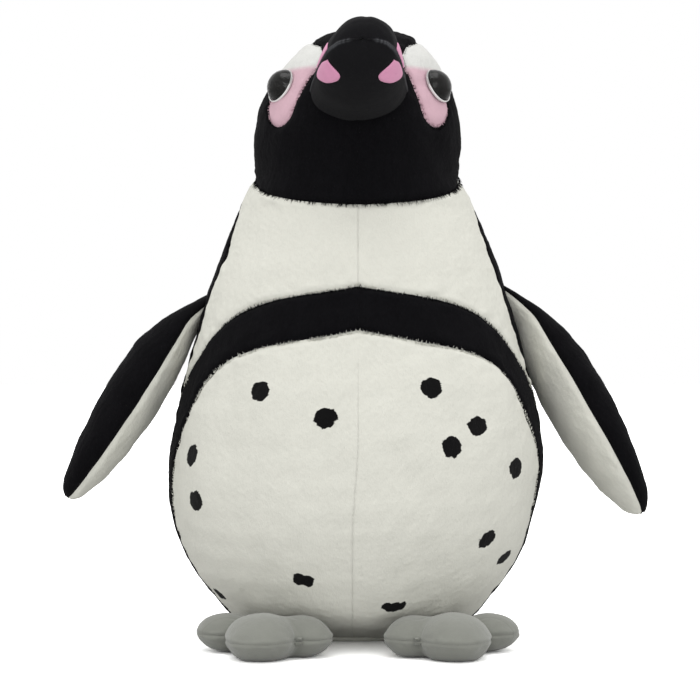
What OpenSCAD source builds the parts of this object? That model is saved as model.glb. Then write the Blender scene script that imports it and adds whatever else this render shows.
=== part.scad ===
// Plush penguin, sitting upright and facing -Y. Millimetres, +Z up.
// The origin is the middle of the flat base. The toy's own left is +X.
// Heights (z) and turns (degrees round from the front) place every seam on the skin.

/* [Fabric] */
// Thickness of the pile fabric
cloth = 1.2; // [0.8:0.1:1.6]
// Depth of the fibre fill under the outer surface
fill_depth = 3; // [2.5:0.1:4]
// Gap between the head's rim and the torso's rim
neck_gap = 0.5; // [0.3:0.1:1]

/* [Neck] */
// Height of the neck seam at the sides
neck_height = 189; // [187:0.5:191]
// Rise of the neck seam for each millimetre towards the back
neck_slope = 0.317; // [0.28:0.001:0.34]

/* [Eyes] */
// Diameter of each safety eye
eye_d = 14; // [12:0.5:14.5]
// How far the dome of the eye stands out
eye_rise = 5.2; // [4:0.1:6]
// Diameter of the stem that goes through the cloth
stem_d = 4; // [3:0.1:4.5]
// Length of the stem
stem_length = 12; // [9:0.5:13]
// Diameter of the washer behind the cloth
washer_d = 16; // [14:0.5:17]
// Turn of each eye from the front
eye_turn = 56; // [54:0.5:58]
// Height of each eye
eye_height = 225; // [223:0.5:226]

/* [Flippers] */
// Distance of the shoulder hinge from the middle
shoulder_x = 67.3; // [67.2:0.1:69]
// Height of the shoulder hinge
shoulder_z = 134; // [132:0.5:136]
// Distance of the flipper tip from the middle
tip_x = 119; // [116:0.5:122]
// Height of the flipper tip
tip_z = 54; // [52:0.5:58]

/* [Feet and tail] */
// Height of the seam round each foot
foot_seam = 7.5; // [7:0.1:8]
// Distance of each foot's middle from the centre line
foot_x = 36; // [35.5:0.1:36.5]
// Distance of each foot's middle in front of the origin
foot_y = 50; // [49.5:0.1:52]
// Reach of the tail behind the origin
tail_reach = 88; // [84:0.5:90]

/* [Hidden] */

black = [0.06, 0.06, 0.08];
cream = [0.9, 0.89, 0.86];
pink = [0.87, 0.6, 0.74];
pale_pink = [0.85, 0.76, 0.79];
grey = [0.5, 0.52, 0.5];
fibre = [0.95, 0.95, 0.93];

// The skin as an oval at each height: half width, reach to the front and reach to the back
crown_z = 251;
half_widths = [[0, 32], [3, 40.5], [6, 46], [12, 52.5], [20, 59], [30, 66], [45, 73], [60, 76.3], [70, 77],
    [85, 75.6], [100, 73], [118, 68], [143, 61], [163, 54], [180, 46.5], [190, 42], [205, 43], [216, 41.5],
    [229, 35.5], [237, 30], [243, 24], [247, 18], [249.5, 11], [251, 0.01]];
front_depths = [[0, 16], [3, 22], [6, 29.5], [8, 36.5], [10, 43], [12, 47.5], [15, 52.5], [20, 56.5], [30, 62.5],
    [40, 66.5], [50, 69], [60, 70], [80, 69], [100, 66], [125, 60], [150, 53], [165, 47], [176, 43], [190, 43],
    [205, 43.5], [215, 42], [225, 38], [235, 31], [243, 22], [248, 13], [250, 7], [251, 0.01]];
back_depths = [[0, 30], [4, 41], [8, 47], [20, 55], [40, 60], [60, 62], [80, 61], [100, 58], [140, 50],
    [180, 44], [190, 46], [205, 47], [220, 43], [235, 33], [245, 20], [249.5, 9], [251, 0.01]];
// Each eye points away from a spot on the axis at this height
eye_centre = 207;
// The inward direction of the cloth aims at a spine between these two heights
spine_low = 50;
spine_high = 212;

// Seams as [turn, height]. Past the neck they are cut off at its plane.
past_neck = 260;
base_edge = 2;
belly_middle = [[0, 126], [0, 118], [0, 108], [0, 90], [0, 70], [0, 45], [0, 20], [0, base_edge]];
belly_seam = [[0, 126], [38, 118], [55, 109], [67, 92], [78, 75], [86, 50], [82, 18], [75, base_edge]];
band_seam = [[0, 143], [32, 137.5], [52, 130], [68, 116], [85, 95], [96, 62], [96, 25], [90, base_edge]];
back_edge = [[105, past_neck], [76, 155], [78, 115], [100, 65], [107, 30], [105, base_edge]];
side_seam = concat([[0, past_neck], [52, past_neck]], back_edge);
back_middle = [[180, past_neck], [180, 155], [180, 115], [180, 65], [180, 30], [180, base_edge]];
// Head seams. Each runs from the beak round to the nape, and at_neck puts a point on the neck seam.
at_neck = 0;
throat_line = [[15, 209], [0, 204], [0, 198], [0, 188], [0, at_neck], [24, at_neck], [48, at_neck],
    [72, at_neck], [96, at_neck]];
brow_low = [[29, 219], [38, 216], [50, 208], [62, 216], [72, 229], [86, 231], [98, 224], [104, 210],
    [96, at_neck]];
brow_high = [[27, 237], [40, 242], [65, 244], [90, 245], [105, 241], [114, 232], [120, 220],
    [121, 208], [114, at_neck]];
crown_middle = [[0, 240], [0, crown_z], [180, crown_z], [180, 247], [180, 241], [180, 232], [180, 220],
    [180, 210], [180, at_neck]];

// Beak stations as [share of its length, size]
mouth_heights = [[0, 221], [0.4, 225], [0.8, 230.5], [1, 233]];
beak_half_widths = [[0, 19.5], [0.4, 18.3], [0.7, 16], [0.88, 13.5], [0.96, 9], [1, 0.5]];
beak_rises = [[0, 21], [0.4, 21], [0.7, 17], [0.88, 12], [0.96, 7], [1, 0.4]];
beak_drops = [[0, 13], [0.4, 11.5], [0.7, 7], [0.88, 4.5], [0.96, 3], [1, 0.4]];
beak_reach = 79;
beak_seat = 1;

// Flat stuffed pieces: root, tip, chord direction, half chords and half thicknesses
flipper = [[shoulder_x, 0, shoulder_z], [tip_x, -10, tip_z], [-0.05, 1, 0],
    [[0, 13], [0.15, 15.5], [0.4, 18.5], [0.6, 18], [0.8, 14], [0.92, 9], [0.98, 5], [1, 0.3]],
    [[0, 3], [0.1, 5.5], [0.2, 7], [0.34, 9.5], [0.5, 11.5], [0.7, 10.5], [0.85, 8], [0.95, 5],
        [1, 0.3]]];
tail = [[0, 57.5, 18], [0, tail_reach, 7.5], [-1, 0, 0],
    [[0, 15], [0.5, 15], [0.8, 10], [0.95, 5], [1, 0.3]],
    [[0, 2.6], [0.15, 5], [0.4, 6], [0.8, 4], [0.95, 2.5], [1, 0.3]]];

// Foot outline: a small pad with three toes and a heel, each as [direction, length, spread]
foot_pad = 8;
toes = [[20, 21, 32], [-86, 22, 46], [-152, 21.5, 31]];
heel = [95, 5, 50];
toe_rise = 9.3;
palm_rise = 7.5;

function unit(v) = v / norm(v);
function between(a, b, share) = a + (b - a) * share;
function clamp(value, low, high) = min(max(value, low), high);

// A point on the skin: an oval at each height, wide half_widths and deep front_depths or back_depths
function on_skin(turn, z) = [
    lookup(z, half_widths) * sin(turn),
    -lookup(z, cos(turn) >= 0 ? front_depths : back_depths) * cos(turn),
    z];

// The same point moved inwards by depth, towards the spine
function under_skin(p, depth) = p - depth * unit(p - [0, 0, clamp(p[2], spine_low, spine_high)]);

// Height of the neck plane on the skin, found by two passes over the depth of the skin there
function neck_z(turn) = let(first = neck_height + neck_slope * on_skin(turn, neck_height)[1])
    neck_height + neck_slope * on_skin(turn, first)[1];

// Seams are straight in [turn, level]. A torso's level is 1 at the neck plane, and a head's is 0 there.
function neck_rim(turn, is_head) = neck_z(turn) + (is_head ? 1 : -1) * neck_gap / 2;
function to_level(p, is_head) = let(rim = neck_rim(p[0], is_head))
    [p[0], is_head ? max((p[1] - rim) / (crown_z - rim), 0) : min(p[1] / rim, 1)];
function from_level(p, is_head) = let(rim = neck_rim(p[0], is_head))
    is_head ? between(rim, crown_z, p[1]) : p[1] * rim;

// The point at step i of a seam, with the given number of steps between its listed points
function along(seam, i, steps) = let(k = min(floor(i / steps), len(seam) - 2))
    between(seam[k], seam[k + 1], i / steps - k);

// A grid of skin points between two seams, depth under the surface
function skin_grid(seam_a, seam_b, steps, columns, is_head, depth) = [
    let(a = [for (p = seam_a) to_level(p, is_head)], b = [for (p = seam_b) to_level(p, is_head)])
        for (i = [0:(len(seam_a) - 1) * steps])
            [for (j = [0:columns]) let(at = between(along(a, i, steps), along(b, i, steps), j / columns))
                under_skin(on_skin(at[0], from_level(at, is_head)), depth)]];

function flat(grid) = [for (row = grid) each row];

// A closed sheet of cloth between an outer grid and an inner grid of the same size
module cloth_between(outer, inner) {
    rows = len(outer) - 1;
    columns = len(outer[0]) - 1;
    width = columns + 1;
    under = len(outer) * width;
    rim = concat(
        [for (i = [0:rows - 1]) i * width],
        [for (j = [0:columns - 1]) rows * width + j],
        [for (i = [rows:-1:1]) i * width + columns],
        [for (j = [columns:-1:1]) j]);
    polyhedron(points = concat(flat(outer), flat(inner)), faces = concat(
        [for (i = [0:rows - 1], j = [0:columns - 1]) let(k = i * width + j)
            each [[k, k + 1, k + width + 1], [k, k + width + 1, k + width]]],
        [for (i = [0:rows - 1], j = [0:columns - 1]) let(k = under + i * width + j)
            each [[k, k + width + 1, k + 1], [k, k + width, k + width + 1]]],
        [for (n = [0:len(rim) - 1]) let(p = rim[n], q = rim[(n + 1) % len(rim)])
            each [[p, q, q + under], [p, q + under, p + under]]]));
}

// A closed solid through a stack of rings, capped with a fan at each end
module stuffed(rings, first_cap, last_cap) {
    sides = len(rings[0]);
    last = (len(rings) - 1) * sides;
    low = len(rings) * sides;
    polyhedron(points = concat(flat(rings), [first_cap, last_cap]), faces = concat(
        [for (k = [0:len(rings) - 2], j = [0:sides - 1])
            let(p = k * sides + j, q = k * sides + (j + 1) % sides)
            each [[p, p + sides, q + sides], [p, q + sides, q]]],
        [for (j = [0:sides - 1]) [low, j, (j + 1) % sides]],
        [for (j = [0:sides - 1]) [low + 1, last + (j + 1) % sides, last + j]]));
}

module side(left) {
    if (left) children();
    else mirror([1, 0, 0]) children();
}

module skin_panel(seam_a, seam_b, steps, columns, is_head = false)
    cloth_between(skin_grid(seam_a, seam_b, steps, columns, is_head, 0),
        skin_grid(seam_a, seam_b, steps, columns, is_head, cloth));

// Torso
module base_panel() color(cream)
    linear_extrude(1.5)
        polygon([for (turn = [0:10:350]) let(p = on_skin(turn, 0)) [p[0], p[1]]]);
module belly_panel(left) color(cream) side(left) skin_panel(belly_middle, belly_seam, 2, 7);
module breast_band(left) color(black) side(left) skin_panel(belly_seam, band_seam, 2, 2);
module chest_panel(left) color(cream) side(left) skin_panel(band_seam, side_seam, 2, 5);
module back_panel(left) color(black) side(left) skin_panel(back_edge, back_middle, 2, 6);

// Rings of fill under the skin, from one height up to the neck plane or up to a level height
function fill_ring(low, share, high) = [for (turn = [0:15:345])
    let(top = high > 0 ? high : neck_z(turn) - neck_gap / 2 - 0.2)
    under_skin(on_skin(turn, between(low, top, share)), fill_depth)];
module body_stuffing() color(fibre)
    stuffed([for (share = [0, 0.12, 0.28, 0.44, 0.6, 0.75, 0.88, 1]) fill_ring(34, share, 0)],
        [0, 0, 34], [0, 0, neck_height - neck_gap / 2 - 0.2]);
module pellet_bag() color([0.8, 0.78, 0.7])
    stuffed([for (share = [0, 0.25, 0.6, 1]) fill_ring(11, share, 33)], [0, 0, 8], [0, 0, 32.5]);

// Head
module eye_seat() {
    at = on_skin(eye_turn, eye_height);
    way = unit(at - [0, 0, eye_centre]);
    translate(at) rotate([0, acos(way[2]), atan2(way[1], way[0])]) children();
}
module face_panel(left) color(black) side(left) skin_panel(throat_line, brow_low, 2, 6, true);
module brow_panel(left) color(pale_pink) side(left) difference() {
    skin_panel(brow_low, brow_high, 2, 4, true);
    eye_seat() translate([0, 0, -6]) cylinder(h = 12, d = stem_d + 0.4, $fn = 32);
}
module crown_panel(left) color(black) side(left) skin_panel(brow_high, crown_middle, 2, 5, true);

function head_ring(share) = [for (turn = [0:15:345])
    let(low = neck_z(turn) + neck_gap / 2 + 0.2)
    under_skin(on_skin(turn, between(low, crown_z, share)), fill_depth)];
module head_stuffing() color(fibre) difference() {
    stuffed([for (share = [0, 0.2, 0.4, 0.6, 0.78, 0.9, 0.97]) head_ring(share)],
        [0, 0, neck_height + neck_gap / 2 + 0.2], [0, 0, crown_z - fill_depth]);
    for (left = [true, false]) side(left) eye_seat() {
        translate([0, 0, -stem_length - 2]) cylinder(h = stem_length + 3, d = stem_d + 0.4, $fn = 32);
        translate([0, 0, -5.4]) cylinder(h = 8, d = washer_d + 1, $fn = 32);
    }
}

// Safety eye: a dome on a stem. The washer grips the stem behind the cloth.
module eye(left) color([0.05, 0.04, 0.04]) side(left) eye_seat()
    rotate_extrude($fn = 48) {
        intersection() {
            translate([0, 0.3]) square([eye_d / 2, eye_rise]);
            translate([0, eye_rise + 0.3 - (eye_d * eye_d / 4 + eye_rise * eye_rise) / (2 * eye_rise)])
                circle(r = (eye_d * eye_d / 4 + eye_rise * eye_rise) / (2 * eye_rise), $fn = 96);
        }
        translate([0, -stem_length]) square([stem_d / 2, stem_length + 1]);
    }
module eye_washer(left) color([0.9, 0.9, 0.88]) side(left) eye_seat()
    translate([0, 0, -4.6]) difference() {
        cylinder(h = 1.2, d = washer_d, $fn = 48);
        translate([0, 0, -1]) cylinder(h = 4, d = stem_d - 0.1, $fn = 32);
    }

// The face in front of a point, at the given side distance and height
function face_y(x, z) = -lookup(z, front_depths) * sqrt(max(0, 1 - pow(x / lookup(z, half_widths), 2)));
// Upper half of a beak section where rise is positive, lower half where it is negative
function beak_section(share, turn, depth, upper) =
    let(wide = max(lookup(share, beak_half_widths) - depth, 0.2))
    let(tall = max(lookup(share, upper ? beak_rises : beak_drops) - depth, 0.2))
    [wide * sin(turn), lookup(share, mouth_heights) + (upper ? 1 : -1) * (0.1 + tall * cos(turn))];
function on_beak(share, turn, depth, upper) =
    let(root = beak_section(0, turn, depth, upper), here = beak_section(share, turn, depth, upper))
    let(reach = beak_reach - depth * share, bow = sin(90 * share))
    [here[0], between(face_y(root[0], root[1]) - beak_seat, -reach, between(share, bow, 0.55)), here[1]];
beak_shares = [0, 0.15, 0.3, 0.45, 0.6, 0.72, 0.84, 0.92, 0.97, 1];
function beak_grid(depth, upper) = [for (share = beak_shares)
    [for (turn = [-90:18:90]) on_beak(share, upper ? -turn : turn, depth, upper)]];
module beak_upper() color(black) cloth_between(beak_grid(0, true), beak_grid(cloth, true));
module beak_lower() color(black) cloth_between(beak_grid(0, false), beak_grid(cloth, false));
module beak_stuffing() color(fibre)
    stuffed([for (share = [0.08, 0.25, 0.45, 0.65, 0.82, 0.92]) concat(
        [for (turn = [90:-18:-90]) on_beak(share, turn, 2.2, true)],
        [for (turn = [-72:18:72]) on_beak(share, turn, 2.2, false)])],
        [0, face_y(0, 226) - 2.5, 226], [0, 4 - beak_reach, 234]);
function patch_grid(from_share, to_share, from_turn, to_turn, depth, upper) =
    [for (i = [0:6]) [for (j = [0:3])
        on_beak(between(from_share, to_share, i / 6), between(from_turn, to_turn, j / 3), depth, upper)]];
module beak_patch_upper(left) color(pink) side(left)
    cloth_between(patch_grid(0.1, 0.6, 88, 72, -0.7, true), patch_grid(0.1, 0.6, 88, 72, -0.15, true));
module beak_patch_lower(left) color(pink) side(left)
    cloth_between(patch_grid(0.25, 0.6, 42, 78, -0.7, false), patch_grid(0.25, 0.6, 42, 78, -0.15, false));

// Flat stuffed pieces. A point at a share of the length, turned round the section from its front edge.
function on_flat(piece, share, turn, depth) =
    let(way = piece[1] - piece[0], chord = unit(piece[2]), up = unit(cross(way, chord)))
    let(reach = piece[0] + way * share * (1 - depth / norm(way)))
    reach - chord * max(lookup(share, piece[3]) - depth, 0.1) * cos(turn)
        + up * max(lookup(share, piece[4]) - depth, 0.1) * sin(turn);
flat_shares = [0, 0.1, 0.22, 0.36, 0.5, 0.64, 0.76, 0.86, 0.93, 0.98, 1];
function flat_grid(piece, flip, depth) = [for (share = flat_shares)
    [for (turn = [0:22.5:180]) on_flat(piece, share, flip > 0 ? turn : turn - 180, depth)]];
module flat_skin(piece, flip) cloth_between(flat_grid(piece, flip, 0), flat_grid(piece, flip, cloth));
module flat_stuffing(piece, depth)
    stuffed([for (share = [0.03, 0.15, 0.3, 0.45, 0.6, 0.75, 0.88, 0.95])
        [for (turn = [0:-24:-336]) on_flat(piece, share, turn, depth)]],
        between(piece[0], piece[1], 0.03), between(piece[0], piece[1], 0.95));

module flipper_outer(left) color(black) side(left) flat_skin(flipper, 1);
module flipper_inner(left) color(cream) side(left) flat_skin(flipper, -1);
module flipper_stuffing(left) color(fibre) side(left) flat_stuffing(flipper, 2);
module tail_upper() color(black) flat_skin(tail, 1);
module tail_under() color(black) flat_skin(tail, -1);
module tail_stuffing() color(fibre) flat_stuffing(tail, 1.8);

// Foot outline at a direction, and a point at a share of the way out to it
function bump(angle, toe) = let(off = abs((angle - toe[0] + 540) % 360 - 180)) exp(-pow(off / toe[2], 4));
function foot_edge(angle) = foot_pad + max([for (lobe = concat(toes, [heel]))
    lobe[1] * bump(angle, lobe)]);
function toe_share(angle) = max([for (toe = toes) bump(angle, toe)]);
function on_foot(angle, share, depth, upper) =
    let(edge = foot_edge(angle) - depth, dome = sqrt(max(0, 1 - share * share)))
    let(rise = between(palm_rise, between(2, toe_rise, toe_share(angle)), share) - depth)
    let(drop = (foot_seam - depth) * (1 - pow(share, 5)))
    [foot_x + edge * share * cos(angle), edge * share * sin(angle) - foot_y,
        foot_seam + (upper ? max(rise, 0.2) * dome + 0.02 : -drop - 0.02)];
function foot_grid(depth, upper) = [for (share = [0, 0.35, 0.6, 0.8, 0.92, 1])
    [for (n = [0:40]) on_foot((upper ? 9 : -9) * n, share, depth, upper)]];
module foot_upper(left) color(grey) side(left)
    foot_skin(foot_grid(0, true), foot_grid(cloth, true));
module foot_sole(left) color(grey) side(left)
    foot_skin(foot_grid(0, false), foot_grid(cloth, false));
module foot_skin(outer, inner) {
    turns = len(outer[0]) - 1;
    rings = concat([for (k = [len(inner) - 1:-1:1]) inner[k]], [for (k = [1:len(outer) - 1]) outer[k]]);
    sides = [for (ring = rings) [for (n = [0:turns - 1]) ring[n]]];
    count = len(sides);
    points = concat(flat(sides), [inner[0][0], outer[0][0]]);
    middle = len(inner) - 2;
    polyhedron(points = points, faces = concat(
        [for (k = [0:count - 1], n = [0:turns - 1]) if (k != middle)
            let(m = (n + 1) % turns, next = (k + 1) % count)
            each [[k * turns + n, k * turns + m, next * turns + m],
                [k * turns + n, next * turns + m, next * turns + n]]],
        [for (n = [0:turns - 1]) let(m = (n + 1) % turns)
            each [[count * turns, middle * turns + n, middle * turns + m],
                [count * turns + 1, (middle + 1) * turns + m, (middle + 1) * turns + n]]]));
}
module foot_stuffing(left) color(fibre) side(left)
    stuffed(concat(
        [for (share = [0.6, 0.8, 0.92]) foot_ring(share, false)],
        [for (share = [0.92, 0.8, 0.6, 0.35]) foot_ring(share, true)]),
        on_foot(0, 0, fill_depth - 1, false), on_foot(0, 0, fill_depth - 1, true));
function foot_ring(share, upper) = [for (n = [0:39]) on_foot(9 * n, share, fill_depth - 1, upper)];

base_panel();
belly_panel(true);  // belly_panel_left
belly_panel(false);  // belly_panel_right
breast_band(true);  // breast_band_left
breast_band(false);  // breast_band_right
chest_panel(true);  // chest_panel_left
chest_panel(false);  // chest_panel_right
back_panel(true);  // back_panel_left
back_panel(false);  // back_panel_right
body_stuffing();
pellet_bag();
face_panel(true);  // face_panel_left
face_panel(false);  // face_panel_right
brow_panel(true);  // brow_panel_left
brow_panel(false);  // brow_panel_right
crown_panel(true);  // crown_panel_left
crown_panel(false);  // crown_panel_right
head_stuffing();
beak_upper();
beak_lower();
beak_stuffing();
beak_patch_upper(true);  // beak_patch_upper_left
beak_patch_upper(false);  // beak_patch_upper_right
beak_patch_lower(true);  // beak_patch_lower_left
beak_patch_lower(false);  // beak_patch_lower_right
eye(true);  // eye_left
eye(false);  // eye_right
eye_washer(true);  // eye_washer_left
eye_washer(false);  // eye_washer_right
flipper_outer(true);  // flipper_outer_left
flipper_outer(false);  // flipper_outer_right
flipper_inner(true);  // flipper_inner_left
flipper_inner(false);  // flipper_inner_right
flipper_stuffing(true);  // flipper_stuffing_left
flipper_stuffing(false);  // flipper_stuffing_right
foot_upper(true);  // foot_upper_left
foot_upper(false);  // foot_upper_right
foot_sole(true);  // foot_sole_left
foot_sole(false);  // foot_sole_right
foot_stuffing(true);  // foot_stuffing_left
foot_stuffing(false);  // foot_stuffing_right
tail_upper();
tail_under();
tail_stuffing();
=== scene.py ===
"""Plush penguin, sitting upright and facing -Y: its looks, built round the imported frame.
Shapes are worked out in millimetres and put into the meshes in metres."""
import math

import bmesh
import bpy
import numpy as np
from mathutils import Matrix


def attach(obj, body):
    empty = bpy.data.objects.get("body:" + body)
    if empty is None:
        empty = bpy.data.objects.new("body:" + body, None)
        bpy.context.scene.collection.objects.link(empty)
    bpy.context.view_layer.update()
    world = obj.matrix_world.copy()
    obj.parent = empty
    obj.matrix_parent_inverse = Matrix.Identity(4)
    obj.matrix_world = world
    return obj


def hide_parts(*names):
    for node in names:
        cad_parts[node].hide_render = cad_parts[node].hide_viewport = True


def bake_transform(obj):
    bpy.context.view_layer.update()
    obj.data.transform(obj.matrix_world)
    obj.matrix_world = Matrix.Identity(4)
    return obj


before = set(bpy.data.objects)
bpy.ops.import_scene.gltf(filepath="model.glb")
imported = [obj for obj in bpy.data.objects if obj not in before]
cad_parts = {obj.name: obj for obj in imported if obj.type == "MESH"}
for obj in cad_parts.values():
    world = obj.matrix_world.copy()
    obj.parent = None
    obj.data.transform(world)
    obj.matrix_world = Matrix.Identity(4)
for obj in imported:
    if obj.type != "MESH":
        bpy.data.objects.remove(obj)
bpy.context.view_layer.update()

# ---------------------------------------------------------------- Camera, light and floor
# A level camera at the height of the belly, far back, as in a shop's studio. A white room,
# a wide softbox overhead and a weak one in front light the toy almost without shadows.
scene = bpy.context.scene
scene.view_settings.view_transform = "Standard"
lens_mm = 105.8
eye = bpy.data.objects.new("camera", bpy.data.cameras.new("camera"))
eye.data.lens = lens_mm
eye.location = (-0.0031, -0.85, 0.118)
eye.rotation_euler = (math.pi / 2, 0, 0)
scene.collection.objects.link(eye)
scene.camera = eye

room = bpy.data.worlds.new("white_room")
room.use_nodes = True
room.node_tree.nodes["Background"].inputs["Color"].default_value = (1, 1, 1, 1)
room.node_tree.nodes["Background"].inputs["Strength"].default_value = 1.0
scene.world = room


def softbox(name, place, aim, size, watts):
    """A square area light at a place, turned so that its -Z axis points at aim."""
    lamp = bpy.data.objects.new(name, bpy.data.lights.new(name, "AREA"))
    lamp.data.size = size
    lamp.data.energy = watts
    lamp.location = place
    way = np.array(aim, float) - np.array(place, float)
    lamp.rotation_euler = (math.atan2(math.hypot(way[0], way[1]), -way[2]), 0,
                           math.atan2(way[0], -way[1]) + math.pi)
    scene.collection.objects.link(lamp)
    return lamp


softbox("softbox_above", (0, -0.25, 1.3), (0, 0, 0.1), 0.9, 5.5)
softbox("softbox_front", (0.15, -1.5, 0.5), (0, 0, 0.10), 0.8, 3.5)


def wired(name):
    """A new material, its node tree emptied but for the shader and the output."""
    material = bpy.data.materials.new(name)
    material.use_nodes = True
    return material, material.node_tree, material.node_tree.nodes["Principled BSDF"]


def node(tree, kind, inputs=(), **settings):
    """Adds a node, sets its properties, then gives each (socket, value or output) pair."""
    made = tree.nodes.new(kind)
    for key, value in settings.items():
        setattr(made, key, value)
    for socket, value in inputs:
        if isinstance(value, bpy.types.NodeSocket):
            tree.links.new(value, made.inputs[socket])
        else:
            made.inputs[socket].default_value = value
    return made


# The floor looks white to the camera, and gives back less light than that to the toy.
floor_paint, tree, shader = wired("white_floor")
shader.inputs["Roughness"].default_value = 1
shader.inputs["Specular IOR Level"].default_value = 0
seen = node(tree, "ShaderNodeLightPath").outputs["Is Camera Ray"]
tone = node(tree, "ShaderNodeMix", [("Factor", seen), (6, (0.62, 0.62, 0.62, 1)), (7, (1.9, 1.9, 1.9, 1))],
            data_type="RGBA")
tree.links.new(tone.outputs[2], shader.inputs["Base Color"])
floor_mesh = bpy.data.meshes.new("floor")
floor_mesh.from_pydata([(-4, -4, 0), (4, -4, 0), (4, 6, 0), (-4, 6, 0)], [], [(0, 1, 2, 3)])
floor_mesh.materials.append(floor_paint)
floor = bpy.data.objects.new("floor", floor_mesh)
scene.collection.objects.link(floor)

# ---------------------------------------------------------------- Belly panels
# Two cream panels of short plush, sewn together down the middle and into the breast band.
# The pile is brushed downwards. Round black spots are printed on it.
half_widths = [[0, 32], [3, 40.5], [6, 46], [12, 52.5], [20, 59], [30, 66], [45, 73], [60, 76.3],
               [70, 77], [85, 75.6], [100, 73], [118, 68], [143, 61], [163, 54], [180, 46.5], [190, 42],
               [205, 43], [216, 41.5], [229, 35.5], [237, 30], [243, 24], [247, 18], [249.5, 11],
               [251, 0.01]]
front_depths = [[0, 16], [3, 22], [6, 29.5], [8, 36.5], [10, 43], [12, 47.5], [15, 52.5], [20, 56.5],
                [30, 62.5], [40, 66.5], [50, 69], [60, 70], [80, 69], [100, 66], [125, 60], [150, 53],
                [165, 47], [176, 43], [190, 43], [205, 43.5], [215, 42], [225, 38], [235, 31],
                [243, 22], [248, 13], [250, 7], [251, 0.01]]
back_depths = [[0, 30], [4, 41], [8, 47], [20, 55], [40, 60], [60, 62], [80, 61], [100, 58], [140, 50],
               [180, 44], [190, 46], [205, 47], [220, 43], [235, 33], [245, 20], [249.5, 9],
               [251, 0.01]]
neck_level, neck_slope = 189, 0.317
crown_height = 251
NECK = 999          # stands for the neck seam's own height in a list of seam points


def curve_of(table):
    """Heights, squared sizes and slopes of the squares, each slope the harmonic mean of its two
    neighbours so that the curve never overshoots."""
    at, size = np.array(table, float).T
    square = size ** 2
    rise = np.diff(square) / np.diff(at)
    before, after = rise[:-1], rise[1:]
    same = before * after > 0
    slope = np.concatenate([rise[:1], np.where(same, 2 * before * after / np.where(
        same, before + after, 1), 0), rise[-1:]])
    return at, square, slope


def read(curve, height):
    """Squared size and its rate of change at each height, by cubic pieces through the table."""
    at, square, slope = curve
    k = np.clip(np.searchsorted(at, height) - 1, 0, len(at) - 2)
    h = at[k + 1] - at[k]
    t = np.clip((height - at[k]) / h, 0, 1)
    a, b, m, n = square[k], square[k + 1], slope[k] * h, slope[k + 1] * h
    value = (2 * t ** 3 - 3 * t ** 2 + 1) * a + (t ** 3 - 2 * t ** 2 + t) * m \
        + (3 * t ** 2 - 2 * t ** 3) * b + (t ** 3 - t ** 2) * n
    rate = ((6 * t ** 2 - 6 * t) * (a - b) + (3 * t ** 2 - 4 * t + 1) * m
            + (3 * t ** 2 - 2 * t) * n) / h
    return np.maximum(value, 1e-4), rate


wide, fore, aft = curve_of(half_widths), curve_of(front_depths), curve_of(back_depths)


def on_skin(turn, height):
    """The skin is an oval at each height: x = half width * sin(turn), and y = -depth * cos(turn),
    with one depth in front and another behind."""
    t = np.radians(turn)
    front, back = read(fore, height)[0], read(aft, height)[0]
    deep = np.sqrt(np.where(np.cos(t) >= 0, front, back))
    return np.stack([np.sqrt(read(wide, height)[0]) * np.sin(t), -deep * np.cos(t),
                     height + 0 * t], -1)


def outward(p):
    """The skin's normal: the gradient of x^2 / width^2 + y^2 / depth^2, made unit length."""
    a, da = read(wide, p[..., 2])
    front, back = read(fore, p[..., 2]), read(aft, p[..., 2])
    d = np.where(p[..., 1] < 0, front[0], back[0])
    dd = np.where(p[..., 1] < 0, front[1], back[1])
    n = np.stack([2 * p[..., 0] / a, 2 * p[..., 1] / d,
                  -(p[..., 0] ** 2 * da / a ** 2 + p[..., 1] ** 2 * dd / d ** 2)], -1)
    return n / np.linalg.norm(n, axis=-1, keepdims=True)


def neck_height(turn):
    """Where the neck's plane, neck_level + neck_slope * y, meets the skin at a turn."""
    height = neck_level + 0 * np.asarray(turn, float)
    for _ in range(8):
        height = neck_level + neck_slope * on_skin(turn, height)[..., 1]
    return height


def smooth(points, fine=24):
    """A Catmull-Rom curve through points: each piece is a cubic whose slope at a point is half the
    step between that point's neighbours."""
    p = np.asarray(points, float)
    if len(p) < 3:
        t = np.linspace(0, 1, fine * 2)[:, None]
        return p[0] + (p[-1] - p[0]) * t
    ends = np.concatenate([[2 * p[0] - p[1]], p, [2 * p[-1] - p[-2]]])
    t = np.linspace(0, 1, fine, endpoint=False)[None, :, None]
    a, b, c, d = (ends[k:len(ends) - 3 + k, None, :] for k in range(4))
    run = 0.5 * (2 * b + (c - a) * t + (2 * a - 5 * b + 4 * c - d) * t ** 2
                 + (3 * b - a - 3 * c + d) * t ** 3)
    return np.concatenate([run.reshape(-1, p.shape[1]), p[-1:]])


def spaced(path, solid, count):
    """The path's points again, count of them, evenly spaced along the solid curve they stand for."""
    run = np.concatenate([[0], np.cumsum(np.linalg.norm(np.diff(solid, axis=0), axis=1))])
    at = np.linspace(0, run[-1], count)
    return np.stack([np.interp(at, run, column) for column in path.T], -1)


def length_of(solid):
    """The length of a line of points."""
    return float(np.linalg.norm(np.diff(solid, axis=0), axis=1).sum())


def torso_seam(*pieces):
    """A seam on the torso as [turn, share of the height of the neck seam there], smooth along each
    piece and with a corner where two pieces meet."""
    parts = []
    for piece in pieces:
        p = np.array(piece, float)
        rim = neck_height(p[:, 0])
        p[:, 1] = np.where(p[:, 1] == NECK, 1, p[:, 1] / rim)
        parts.append(smooth(p))
    return np.concatenate(parts)


def torso_points(seam):
    """The points on the skin of [turn, share of height] pairs."""
    return on_skin(seam[..., 0], seam[..., 1] * neck_height(seam[..., 0]))


stitch_step = 1.0       # spacing of the mesh points


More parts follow.
